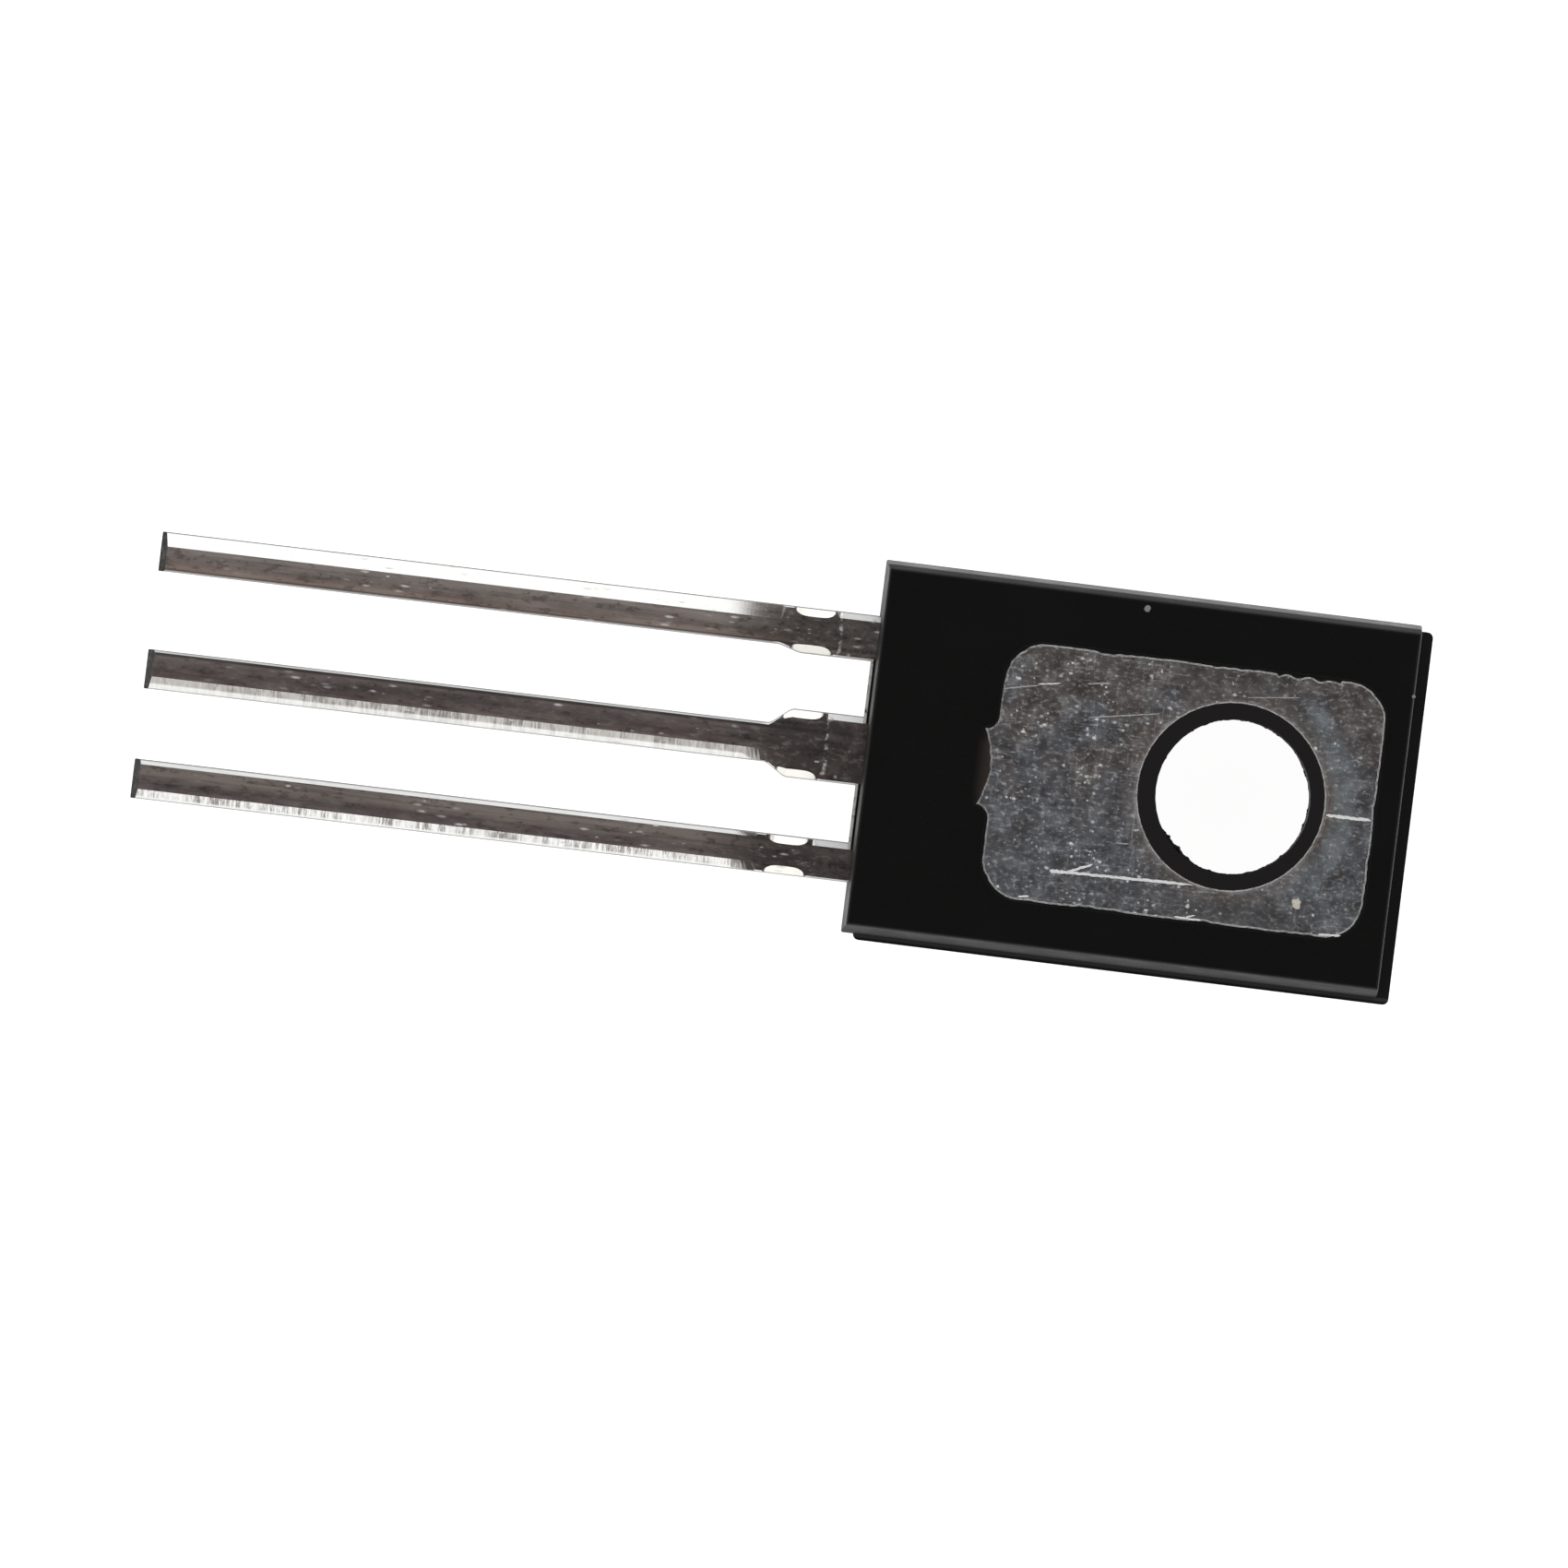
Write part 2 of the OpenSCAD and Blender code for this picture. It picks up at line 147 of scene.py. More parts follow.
class Look:
    """A node material whose patterns are laid out in millimetres of the part's frame."""

    def __init__(self, name, **constants):
        self.material = bpy.data.materials.new(name)
        self.material.use_nodes = True
        self.tree = self.material.node_tree
        self.shader = self.tree.nodes["Principled BSDF"]
        for socket, value in constants.items():
            self.shader.inputs[socket.replace("_", " ")].default_value = value
        coordinates = self.add("ShaderNodeTexCoord")
        scaled = self.add("ShaderNodeVectorMath", operation="SCALE")
        self.tree.links.new(coordinates.outputs["Object"], scaled.inputs[0])
        scaled.inputs["Scale"].default_value = 1 / MM
        self.mm = scaled.outputs[0]
        parts = self.add("ShaderNodeSeparateXYZ")
        self.tree.links.new(self.mm, parts.inputs[0])
        self.x, self.y, self.z = parts.outputs
        facing = self.add("ShaderNodeSeparateXYZ")
        self.tree.links.new(coordinates.outputs["Normal"], facing.inputs[0])
        self.facing_x, self.facing_y, self.facing_z = facing.outputs

    def add(self, kind, **settings):
        node = self.tree.nodes.new(kind)
        for key, value in settings.items():
            setattr(node, key, value)
        return node

    def plug(self, value, socket):
        if isinstance(value, bpy.types.NodeSocket):
            self.tree.links.new(value, socket)
        else:
            socket.default_value = value

    def math(self, operation, a, b=0.0):
        node = self.add("ShaderNodeMath", operation=operation)
        self.plug(a, node.inputs[0])
        self.plug(b, node.inputs[1])
        return node.outputs[0]

    def times(self, a, b):
        return self.math("MULTIPLY", a, b)

    def plus(self, a, b):
        return self.math("ADD", a, b)

    def span(self, value, low, high, to_low=0.0, to_high=1.0, smooth=True):
        """value from low..high onto to_low..to_high, held at both ends."""
        node = self.add("ShaderNodeMapRange",
                        interpolation_type="SMOOTHSTEP" if smooth else "LINEAR")
        for socket, number in zip(node.inputs[:5], (value, low, high, to_low, to_high)):
            self.plug(number, socket)
        return node.outputs[0]

    def band(self, value, centre, half_width, soft):
        """1 where value is within half_width of centre, with soft edges."""
        off = self.math("ABSOLUTE", self.math("SUBTRACT", value, centre))
        return self.span(off, half_width, half_width + soft, 1.0, 0.0)

    def stretched(self, stretch, turn_deg, shift):
        node = self.add("ShaderNodeMapping")
        self.tree.links.new(self.mm, node.inputs["Vector"])
        node.inputs["Scale"].default_value = stretch
        node.inputs["Rotation"].default_value = (0, 0, math.radians(turn_deg))
        node.inputs["Location"].default_value = shift
        return node.outputs[0]

    def noise(self, per_mm, detail=3.0, roughness=0.55, stretch=(1, 1, 1), turn_deg=0.0,
              shift=(0, 0, 0)):
        node = self.add("ShaderNodeTexNoise")
        self.tree.links.new(self.stretched(stretch, turn_deg, shift), node.inputs["Vector"])
        node.inputs["Scale"].default_value = per_mm
        node.inputs["Detail"].default_value = detail
        node.inputs["Roughness"].default_value = roughness
        return node.outputs[0]

    def specks(self, per_mm, share, size, stretch=(1, 1, 1), shift=(0, 0, 0)):
        """Soft dots, one in a share of the cells of a grid with per_mm cells a millimetre."""
        node = self.add("ShaderNodeTexVoronoi")
        self.tree.links.new(self.stretched(stretch, 0.0, shift), node.inputs["Vector"])
        node.inputs["Scale"].default_value = per_mm
        draw = self.add("ShaderNodeSeparateXYZ")
        self.tree.links.new(node.outputs["Color"], draw.inputs[0])
        picked = self.span(draw.outputs[0], 1.0 - share, 1.0, 0.0, 1.0, smooth=False)
        dot = self.span(node.outputs["Distance"], size * 0.3, size, 1.0, 0.0)
        return self.times(dot, self.math("POWER", picked, 0.5))

    def blend(self, factor, a, b):
        """Colour a where factor is 0 and colour b where it is 1."""
        node = self.add("ShaderNodeMix", data_type="RGBA")
        self.plug(factor, node.inputs["Factor"])
        self.plug(a, node.inputs["A"])
        self.plug(b, node.inputs["B"])
        return node.outputs["Result"]

    def choose(self, factor, a, b):
        """Number a where factor is 0 and number b where it is 1."""
        node = self.add("ShaderNodeMix", data_type="FLOAT")
        self.plug(factor, node.inputs[0])
        self.plug(a, node.inputs[2])
        self.plug(b, node.inputs[3])
        return node.outputs[0]

    def finish(self, colour, roughness=None, height=None, depth_mm=0.004):
        """Plugs the patterns into the shader, the height as bump, and returns the material."""
        self.plug(colour, self.shader.inputs["Base Color"])
        if roughness is not None:
            self.plug(roughness, self.shader.inputs["Roughness"])
        if height is not None:
            bump = self.add("ShaderNodeBump")
            bump.inputs["Strength"].default_value = 1.0
            bump.inputs["Distance"].default_value = depth_mm * MM
            self.tree.links.new(height, bump.inputs["Height"])
            self.tree.links.new(bump.outputs[0], self.shader.inputs["Normal"])
        return self.material


def grey(value, tint=(1.0, 1.0, 1.0)):
    return (value * tint[0], value * tint[1], value * tint[2], 1.0)


def distance_from_hole(look):
    """Distance from the axis of the plate's hole."""
    x = look.math("SUBTRACT", look.x, HOLE_RIM_X)
    return look.math("POWER", look.plus(look.times(x, x), look.times(look.y, look.y)), 0.5)


def resin():
    """Black moulded epoxy: matt faces, walls worn smooth lower down, pale where it is broken, and
    painted light on the lead-end wall, the ledges and the broken flash's tops.
    """
    look = Look("moulding_resin_look", Specular_IOR_Level=0.3)
    ring = look.span(distance_from_hole(look), HOLE_RIM_R + 0.02, HOLE_RIM_R - 0.02)
    broken = look.span(look.x, LEAD_END_X - 0.005, LEAD_END_X - 0.02)
    wall = look.span(look.facing_z, 0.5, 0.3)
    # The base side's wall is dull next to the face, and the emitter side's is dull all over.
    matt = look.times(look.span(look.z, *DULL_BAND_Z), look.span(look.facing_y, 0.4, 0.8))
    matt = look.plus(look.times(matt, 0.5), look.times(look.span(look.facing_y, -0.4, -0.8), 0.3))
    # Along the parting line the front half of the mould shows as a ledge, painted lighter to cancel
    # the shade that the wall above casts on it, and on the emitter side a narrow band painted
    # lighter still.
    ledge = look.times(look.span(look.facing_z, 0.6, 0.8), look.span(look.z, *LEDGE_Z))
    pale_ledge = look.times(ledge, look.band(look.y, PALE_LEDGE_Y, 0.02, 0.03))
    lead_end = look.times(wall, look.span(look.facing_x, -0.6, -0.8))
    cloud = look.noise(0.55, detail=4)
    grain = look.noise(38, detail=2)
    fine = look.noise(90, detail=1)
    rub_and_light_patches = look.span(look.noise(1.2, detail=3), 0.35, 0.7)
    chips = look.span(look.noise(7, detail=4, roughness=0.7), 0.32, 0.46)
    broken_top = look.span(look.facing_z, 0.5, 0.8)
    # The thin film of resin over the start of the neck lets the copper show through.
    film = look.times(look.span(look.x, *FILM_START_X),
                      look.band(look.y, FILM_MIDDLE_Y, FILM_HALF_WIDTH, 0.35))
    film = look.times(film, look.span(look.z, *FILM_Z))
    film = look.times(film, look.span(look.x, *FILM_END_X))
    tone = look.blend(look.span(cloud, 0.35, 0.7), grey(0.0009), grey(0.0024, (1.06, 0.98, 1.02)))
    tone = look.blend(film, tone, grey(0.027, (1.2, 0.97, 0.86)))
    tone = look.blend(look.times(ring, 0.9), tone, grey(0.0095, (1.14, 0.95, 0.98)))
    tone = look.blend(look.specks(5, 0.05, 0.1), tone, grey(0.016))
    # Painted light: the lead-end wall is coloured lighter in patches, standing in for the light it
    # catches.
    tone = look.blend(look.times(lead_end, rub_and_light_patches), tone, grey(0.016))
    # Painted light on the ledges, against the shade of the wall above them.
    tone = look.blend(ledge, tone, grey(0.011))
    tone = look.blend(pale_ledge, tone, grey(0.05))
    # Broken resin is pale, and its up-facing chips are painted near white as painted light against
    # the shade of the wall beside them, the others dark grey.
    pale = look.blend(broken_top, grey(0.08, (1.0, 0.98, 0.95)), grey(0.9, (1.0, 0.98, 0.95)))
    tone = look.blend(look.times(broken, chips), tone, pale)
    roughness = look.plus(look.span(grain, 0.3, 0.7, 0.38, 0.48), look.times(ring, 0.1))
    smooth = look.span(rub_and_light_patches, 0.0, 1.0, 0.02, -0.06)
    roughness = look.plus(roughness, look.times(wall, look.plus(smooth, look.times(lead_end, 0.1))))
    roughness = look.plus(roughness, look.times(wall, matt))
    height = look.plus(look.times(grain, 0.5), look.times(fine, 0.3))
    height = look.plus(height, look.times(look.times(broken, chips), 2.0))
    return look.finish(tone, roughness, height)


def plate_look(look):
    """Colour, roughness and height of the bare plate: clouds, specks and fine cross scratches."""
    radius = distance_from_hole(look)
    cloud = look.noise(0.8, detail=3, roughness=0.5)
    patch = look.noise(2.2, detail=6, roughness=0.65, shift=(3, 7, 0))
    grain = look.noise(10, detail=5, roughness=0.7, stretch=(0.8, 1.2, 1), shift=(1, 5, 0))
    busy = look.span(look.noise(1.5, detail=3, shift=(2, 8, 0)), 0.42, 0.58, 0.1, 1.0)
    busy = look.times(busy, look.span(look.x, *BUSY_X, 0.45, 1.0))
    speck = look.math("MAXIMUM", look.specks(6, 0.6, 0.3, stretch=(0.8, 1.2, 1), shift=(1, 2, 0)),
                      look.specks(11, 0.3, 0.36, shift=(5, 3, 0)))
    speck = look.math("MAXIMUM", look.times(speck, busy),
                      look.specks(2.8, 0.4, 0.13, shift=(7, 1, 0)))
    along = look.noise(9, detail=2, stretch=(0.12, 3.5, 1))
    across = look.noise(9, detail=2, stretch=(3.5, 0.12, 1), shift=(4, 0, 0))
    slant = look.noise(8, detail=2, stretch=(0.1, 4.0, 1), turn_deg=9, shift=(7, 2, 0))
    lines = look.math("MAXIMUM", look.span(along, 0.6, 0.68), look.span(across, 0.61, 0.69))
    lines = look.times(look.math("MAXIMUM", lines, look.span(slant, 0.61, 0.69)), busy)
    rim = look.band(radius, HOLE_RIM_R + 0.04, 0.012, 0.05)
    haze = look.band(radius, HOLE_RIM_R + 0.16, 0.06, 0.2)
    arc = look.times(look.band(radius, ARC_R, 0.17, 0.15), look.span(look.x, *ARC_X))
    # Brown towards the base side, blue-grey towards the emitter side and the hole end.
    warm = look.plus(cloud, look.span(look.y, *BROWN_Y, -0.12, 0.12, smooth=False))
    beside = look.times(look.span(look.math("ABSOLUTE", look.y), *BESIDE_HOLE_Y),
                        look.band(look.x, 0.0, BESIDE_HOLE_HALF_LENGTH, 0.8))
    tone = look.blend(look.span(warm, 0.42, 0.6), grey(0.45, (0.9, 0.99, 1.12)),
                      grey(0.4, (1.04, 0.98, 0.98)))
    tone = look.blend(look.span(patch, 0.52, 0.66, 0.0, 0.6), tone, grey(0.66, (0.96, 1.0, 1.05)))
    tone = look.blend(look.span(patch, 0.48, 0.36, 0.0, 0.6), tone, grey(0.25, (0.99, 0.99, 1.05)))
    tone = look.blend(look.span(grain, 0.5, 0.64, 0.0, 0.7), tone, grey(0.88))
    tone = look.blend(look.times(beside, 0.45), tone, grey(0.3, (1.01, 0.99, 1.02)))
    tone = look.blend(look.times(haze, 0.35), tone, grey(0.62, (1.07, 0.99, 0.95)))
    tone = look.blend(look.times(arc, 0.6), tone, grey(0.62, (0.86, 1.0, 1.07)))
    tone = look.blend(look.times(rim, 0.4), tone, grey(0.7, (1.05, 0.99, 0.96)))
    tone = look.blend(speck, tone, grey(0.98))
    roughness = look.span(patch, 0.32, 0.68, 0.26, 0.4)
    roughness = look.plus(roughness, look.span(grain, 0.46, 0.68, 0.0, 0.12))
    roughness = look.plus(roughness, look.times(speck, 0.55))
    roughness = look.plus(roughness, look.times(lines, 0.22))
    roughness = look.plus(roughness, look.plus(look.times(rim, 0.06), look.times(arc, 0.04)))
    height = look.plus(look.times(patch, 0.5), look.times(grain, 0.3))
    return tone, roughness, look.plus(height, look.times(speck, 0.6))


def lead_look(look):
    """Colour, roughness and height of the leads: brown-grey flats between bright bevels, with
    painted reflection on the flats and painted shade on edges, some bevels and the tips.

    The lower bevels are those on the emitter side, which is lower in the photograph.
    """
    nearest = look.times(look.math("ROUND", look.times(look.y, 1 / LEAD_PITCH)), LEAD_PITCH)
    local = look.math("SUBTRACT", look.y, nearest)
    base = look.span(look.y, *BASE_LEAD_Y)
    middle = look.band(look.y, 0.0, MIDDLE_LEAD_HALF, 0.1)
    bevel = look.span(look.facing_z, 0.98, 0.9)
    roll = look.span(look.facing_z, 0.62, 0.45)
    lower = look.span(look.facing_y, -0.2, -0.4)
    beyond = look.span(look.x, SHOULDER_X, SHOULDER_X - 0.2)
    tip = look.times(look.span(look.facing_x, -0.4, -0.6),
                     look.span(look.x, TIP_X + 0.3, TIP_X + 0.2))

    drift = look.times(look.math("SUBTRACT", LEAD_END_X, look.x), LEAD_DRIFT)
    drifted = look.plus(local, drift)
    # Where a point lies across its flat. The base lead's flat is off to one side of its wide bevel.
    across = look.math("SUBTRACT", drifted, look.choose(base, OTHER_FLAT_Y, BASE_FLAT_Y))
    off_middle = look.math("ABSOLUTE", across)
    near = look.span(look.x, *NEAR_BODY_X)

    # The press's line across each lead, and the root between it and the body, whose bevels carry
    # painted shade.
    line_x = look.plus(PRESS_LINE_X, look.times(look.times(local, local), PRESS_LINE_BOW))
    wander = look.noise(2.5, detail=3, shift=(0, 5, 0))
    line_x = look.plus(line_x, look.times(wander, PRESS_LINE_WAVE))
    past_line = look.math("SUBTRACT", look.x, line_x)
    line = look.times(look.band(past_line, 0.0, 0.018, 0.035),
                      look.span(look.noise(9, detail=3, shift=(0, 3, 0)), 0.44, 0.58))
    root = look.span(past_line, 0.0, 0.04)

    mottle = look.noise(2.0, detail=6, roughness=0.65, stretch=(0.3, 1.5, 1))
    cloudy = look.noise(8, detail=5, roughness=0.7, stretch=(0.45, 1, 1), shift=(3, 3, 0))
    drawn = look.noise(3.5, detail=3, stretch=(0.07, 2.4, 1), shift=(1, 9, 0))
    cluster = look.span(look.noise(0.9, detail=2, stretch=(1, 0.6, 1), shift=(6, 4, 0)), 0.46, 0.58)
    nick = look.math("MAXIMUM",
                     look.times(look.specks(6, 0.6, 0.34, stretch=(0.4, 1.6, 1)), cluster),
                     look.specks(3.2, 0.35, 0.13, stretch=(0.5, 1.5, 1), shift=(2, 2, 0)))
    fine_nick = look.specks(9, 0.35, 0.22, stretch=(0.5, 1.5, 1), shift=(4, 6, 0))
    nick = look.math("MAXIMUM", nick, look.times(fine_nick, look.choose(cluster, 0.2, 0.7)))
    nick = look.math("MAXIMUM", nick, look.times(root, look.specks(5, 0.55, 0.3, shift=(8, 0, 0))))
    nick = look.math("MAXIMUM", nick, look.times(line, look.span(cloudy, 0.4, 0.6, 0.1, 0.8)))
    nick = look.times(nick, look.span(look.facing_z, 0.4, 0.7))
    nick = look.times(nick, look.span(look.x, TIP_X + 0.5, TIP_X + 4.0, 0.15, 1.0))

    # Painted reflection on the flats: each lead has its own tone, each flat differs between its two
    # halves, and it is painted darkest along its middle and pale towards its sides. It is smooth
    # for most of its length, and dark and uneven towards the body.
    half = look.span(across, -0.07, 0.07)
    base_flat = look.blend(half, grey(0.8, (1.19, 0.95, 0.86)), grey(0.8, (1.09, 0.98, 0.93)))
    middle_flat = look.blend(half, grey(0.46, (1.13, 0.95, 0.94)), grey(0.51, (1.1, 0.96, 0.97)))
    emitter_flat = look.blend(half, grey(0.52, (1.1, 0.96, 0.96)), grey(0.93, (1.07, 0.96, 0.91)))
    flat = look.blend(base, look.blend(middle, emitter_flat, middle_flat), base_flat)
    flat = look.blend(look.span(off_middle, 0.13, 0.03, 0.0, 0.3), flat, grey(0.26))
    flat = look.blend(look.span(off_middle, 0.13, 0.22, 0.0, 0.3), flat,
                      grey(0.98, (1.0, 0.96, 0.92)))
    flat = look.blend(look.span(mottle, 0.42, 0.6, 0.0, 0.3), flat,
                      grey(0.9, (1.08, 0.98, 0.93)))
    flat = look.blend(look.times(look.span(drawn, 0.48, 0.62), look.choose(near, 0.4, 0.5)),
                      flat, grey(0.28, (1.05, 0.99, 0.98)))
    flat = look.blend(look.times(near, 0.8), flat, grey(0.19, (1.08, 0.98, 0.98)))
    flat = look.blend(look.times(look.span(cloudy, 0.53, 0.66), look.choose(near, 0.42, 0.5)),
                      flat, grey(0.9, (1.02, 0.99, 0.96)))
    flat = look.blend(look.times(look.span(cloudy, 0.46, 0.36), look.choose(near, 0.42, 0.6)),
                      flat, grey(0.08))
    # Painted shade: a thin dark line along the flats' edges, on the base lead only along its lower
    # one.
    edge_shade = look.times(look.band(drifted, DARK_EDGE_Y, 0.02, 0.04),
                           look.choose(middle, near, 1.0))
    edge_shade = look.choose(base, edge_shade, look.band(drifted, BASE_DARK_EDGE_Y, 0.015, 0.035))
    flat = look.blend(look.times(edge_shade, look.span(cloudy, 0.3, 0.5, 0.3, 0.7)), flat,
                      grey(0.16, (1.02, 0.99, 0.98)))
    blotch = look.span(look.noise(4, detail=5, roughness=0.7, shift=(5, 2, 0)), 0.44, 0.56)
    flat = look.blend(look.times(root, look.span(blotch, 0.0, 1.0, 0.0, 0.3)), flat,
                      grey(0.6, (1.04, 0.99, 0.98)))

    # Bevels: fine marks run across the shanks' lower ones in uneven groups, and fade towards
    # their outer edge.
    marks = look.noise(13, detail=5, roughness=0.8, stretch=(1.1, 0.12, 0.12))
    groups = look.noise(2.6, detail=4, roughness=0.65, stretch=(1, 0.25, 0.25), shift=(5, 1, 0))
    marks = look.times(look.span(marks, 0.58, 0.42), look.times(lower, beyond))
    marks = look.times(marks, look.span(groups, 0.4, 0.58, 0.35, 1.0))
    inner = look.span(look.z, LEAD_TOP - 0.1, LEAD_TOP - 0.07)
    bright = look.blend(lower, grey(0.92, (1.0, 1.0, 0.98)), grey(0.97, (1.0, 0.995, 0.975)))
    # Painted shade on the bevels: darker on the middle lead's lower ones next to its flat, on the
    # emitter lead's upper ones, on the base lead's lower ones and a little on the middle lead's
    # upper ones.
    inner_middle = look.times(look.times(middle, lower), look.times(beyond, inner))
    bright = look.blend(look.times(inner_middle, 0.75), bright, grey(0.47, (1.07, 1.0, 0.93)))
    emitter_upper = look.times(look.span(look.y, -1.1, -1.2), look.span(look.facing_y, 0.2, 0.4))
    bright = look.blend(look.times(emitter_upper, 0.6), bright, grey(0.5))
    dull = look.math("MAXIMUM", look.times(look.times(base, lower), 0.9),
                     look.times(middle, look.span(look.facing_y, 0.2, 0.4, 0.0, 0.55)))
    bright = look.blend(look.times(dull, beyond), bright, grey(0.22))
    bright = look.blend(look.times(marks, look.span(inner, 0.0, 1.0, 0.2, 0.9)), bright,
                        grey(0.2, (1.08, 1.0, 0.92)))
    # Painted shade on the root's bevels.
    bright = look.blend(look.times(root, 0.75), bright, grey(0.5))
    scallop = look.band(look.x, sum(SCALLOP_X) / 2, 0.4, 0.03)
    bright = look.blend(scallop, bright, grey(1.0, (1.0, 0.98, 0.91)))
    for end in SCALLOP_X:
        bright = look.blend(look.band(look.x, end, 0.01, 0.03), bright, grey(0.14))
    tone = look.blend(bevel, flat, bright)
    # Painted shade: the leads' steep rounded edges are dark lines, darker on the lower side.
    tone = look.blend(roll, tone, look.blend(lower, grey(0.14), grey(0.3, (1.02, 1.0, 0.97))))
    tone = look.blend(nick, tone, grey(0.97))
    # Painted shade: the sheared tips are near-black metal, a little lighter in patches.
    tone = look.blend(tip, tone, look.blend(look.span(cloudy, 0.5, 0.7), grey(0.012),
                                            grey(0.12, (1.1, 0.98, 0.9))))
    roughness = look.plus(look.span(mottle, 0.3, 0.7, 0.29, 0.35), look.times(nick, 0.4))
    roughness = look.plus(roughness, look.span(look.y, 1.2, 1.8, 0.0, 0.06))
    roughness = look.plus(roughness, look.times(tip, 0.35))
    height = look.plus(look.times(marks, 0.5), look.times(nick, 0.7))
    return tone, roughness, look.plus(height, look.times(cloudy, 0.5))


def tin():
    """Tinned copper, which covers the plate and the leads alike."""
    look = Look("tinned_copper_look", Metallic=1.0)
    plate = look.span(look.z, *PLATE_Z)
    plate_tone, plate_rough, plate_height = plate_look(look)
    lead_tone, lead_rough, lead_height = lead_look(look)
    return look.finish(look.blend(plate, lead_tone, plate_tone),
                       look.choose(plate, lead_rough, plate_rough),
                       look.choose(plate, lead_height, plate_height), depth_mm=0.006)


def bright_metal(name, dull, bright, roughness):
    """Metal laid bare by a scratch or raised along an edge."""
    look = Look(name, Metallic=1.0)
    mottle = look.noise(12, detail=3)
    return look.finish(look.blend(look.span(mottle, 0.3, 0.5), grey(dull), grey(bright)),
                       look.span(mottle, 0.3, 0.7, roughness - 0.08, roughness + 0.08), mottle)


def dirt(name, tone, tint=(1.0, 1.0, 1.0)):
    """Dull dust or residue, a little uneven in colour."""
    look = Look(name, Roughness=0.9)
    return look.finish(look.blend(look.noise(20), grey(tone * 0.7, tint), grey(tone, tint)))


def plain_inner(name, tone, metallic, roughness):
    """A sealed inner piece, which nothing shows in this scene."""
    look = Look(name, Metallic=metallic)
    mottle = look.noise(8, detail=3)
    return look.finish(look.blend(mottle, grey(tone * 0.85), grey(tone * 1.1)),
                       look.span(mottle, 0.3, 0.7, roughness - 0.05, roughness + 0.05))


RESIN = resin()
TIN = tin()
SCRATCH = bright_metal("scratch_look", 0.95, 1.0, 0.9)
FAINT_SCRATCH = bright_metal("faint_scratch_look", 0.42, 0.62, 0.7)
BURR = bright_metal("burr_look", 0.4, 0.75, 0.4)
DUST = dirt("dust_look", 0.34)
RESIDUE = dirt("residue_look", 0.95, (1.0, 0.95, 0.82))


def repaint(node, material):
    """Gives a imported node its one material."""
    slots = frame["nodes"][node].data.materials
    slots.clear()
    slots.append(material)


repaint("body", RESIN)
for metal in ("collector_frame", "base_lead", "emitter_lead"):
    repaint(metal, TIN)
repaint("chip", plain_inner("silicon_look", 0.2, 0.0, 0.15))
repaint("chip_solder", plain_inner("solder_look", 0.5, 1.0, 0.35))
for wire in ("base_wire", "emitter_wire"):
    repaint(wire, plain_inner("bond_wire_look", 0.8, 1.0, 0.3))


# ---- Fine pieces ----

# The steps along outlines and scratches, and how far a raised piece reaches down into its ground.
OUTLINE_STEP, SCRATCH_STEP = 0.035, 0.05
SUNK = 0.002
FLASH_HEIGHT = 0.0025
# Where the flash on the plate's edge has regular bumps, and where the edge runs by the neck.
BUMPS_X, BUMPS_Y = (0.6, 1.9), 2.4
NECK_X = -4.8
# The flash in the hole: its points, and where its tongue is, round from +X.
HOLE_FLASH_POINTS = 360
TONGUE_DEG, TONGUE_HALF_DEG = 229, 16


def piece(name, vertices, faces, material):
    """A mesh piece that rides on the part, from vertices in millimetres."""
    mesh = bpy.data.meshes.new(name)
    mesh.from_pydata([(x * MM, y * MM, z * MM) for x, y, z in vertices], [], faces)
    mesh.update()
    shape = bmesh.new()
    shape.from_mesh(mesh)
    bmesh.ops.recalc_face_normals(shape, faces=shape.faces)
    shape.to_mesh(mesh)
    shape.free()
    for polygon in mesh.polygons:
        polygon.use_smooth = True
    mesh.materials.append(material)
    made = bpy.data.objects.new(name, mesh)
    bpy.context.scene.collection.objects.link(made)
    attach(made, "root")
    return made


def even(points, step):
    """The closed outline with its points moved to about even steps."""
    closed = np.vstack([points, points[:1]])
    lengths = np.r_[0, np.cumsum(np.hypot(*np.diff(closed, axis=0).T))]
    places = np.linspace(0, lengths[-1], int(lengths[-1] / step), endpoint=False)
    return np.column_stack([np.interp(places, lengths, closed[:, k]) for k in (0, 1)])


def inward(points):
    """Unit normals that point into the face, for an outline that runs round it."""
    ahead = np.roll(points, -2, axis=0) - np.roll(points, 2, axis=0)
    ahead /= np.hypot(*ahead.T)[:, None]
    return np.column_stack([-ahead[:, 1], ahead[:, 0]])


def waves(count, length, seed, pitches):
    """Smooth noise along a closed line, from 0 to 1, as a sum of seeded sines."""
    generator = random.Random(seed)
    along = np.linspace(0, 2 * math.pi, count, endpoint=False)
    total = np.zeros(count)
    for pitch, size in pitches:
        for _ in range(3):
            turns = max(1, round(length / pitch * generator.uniform(0.7, 1.4)))
            total += size * np.sin(turns * along + generator.uniform(0, 2 * math.pi))
    total -= total.min()
    return total / total.max()


def swept_loop(name, rings, material):
    """A closed tube through rings, given as arrays of the same number of points."""
    count = len(rings[0])
    vertices = [tuple(p) for ring in rings for p in ring]
    faces = []
    for k in range(len(rings)):
        after = (k + 1) % len(rings)
        for i in range(count):
            j = (i + 1) % count
            faces.append((k * count + i, k * count + j, after * count + j, after * count + i))
    return piece(name, vertices, faces, material)


def profile_loop(name, outline, normals, profile, material):
    """Sweeps profile, a list of (inward distance array, height array), round an outline."""
    rings = []
    for k in range(len(outline)):
        rings.append([(*(outline[k] + normals[k] * offset[k]), height[k])
                      for offset, height in profile])
    return swept_loop(name, rings, material)


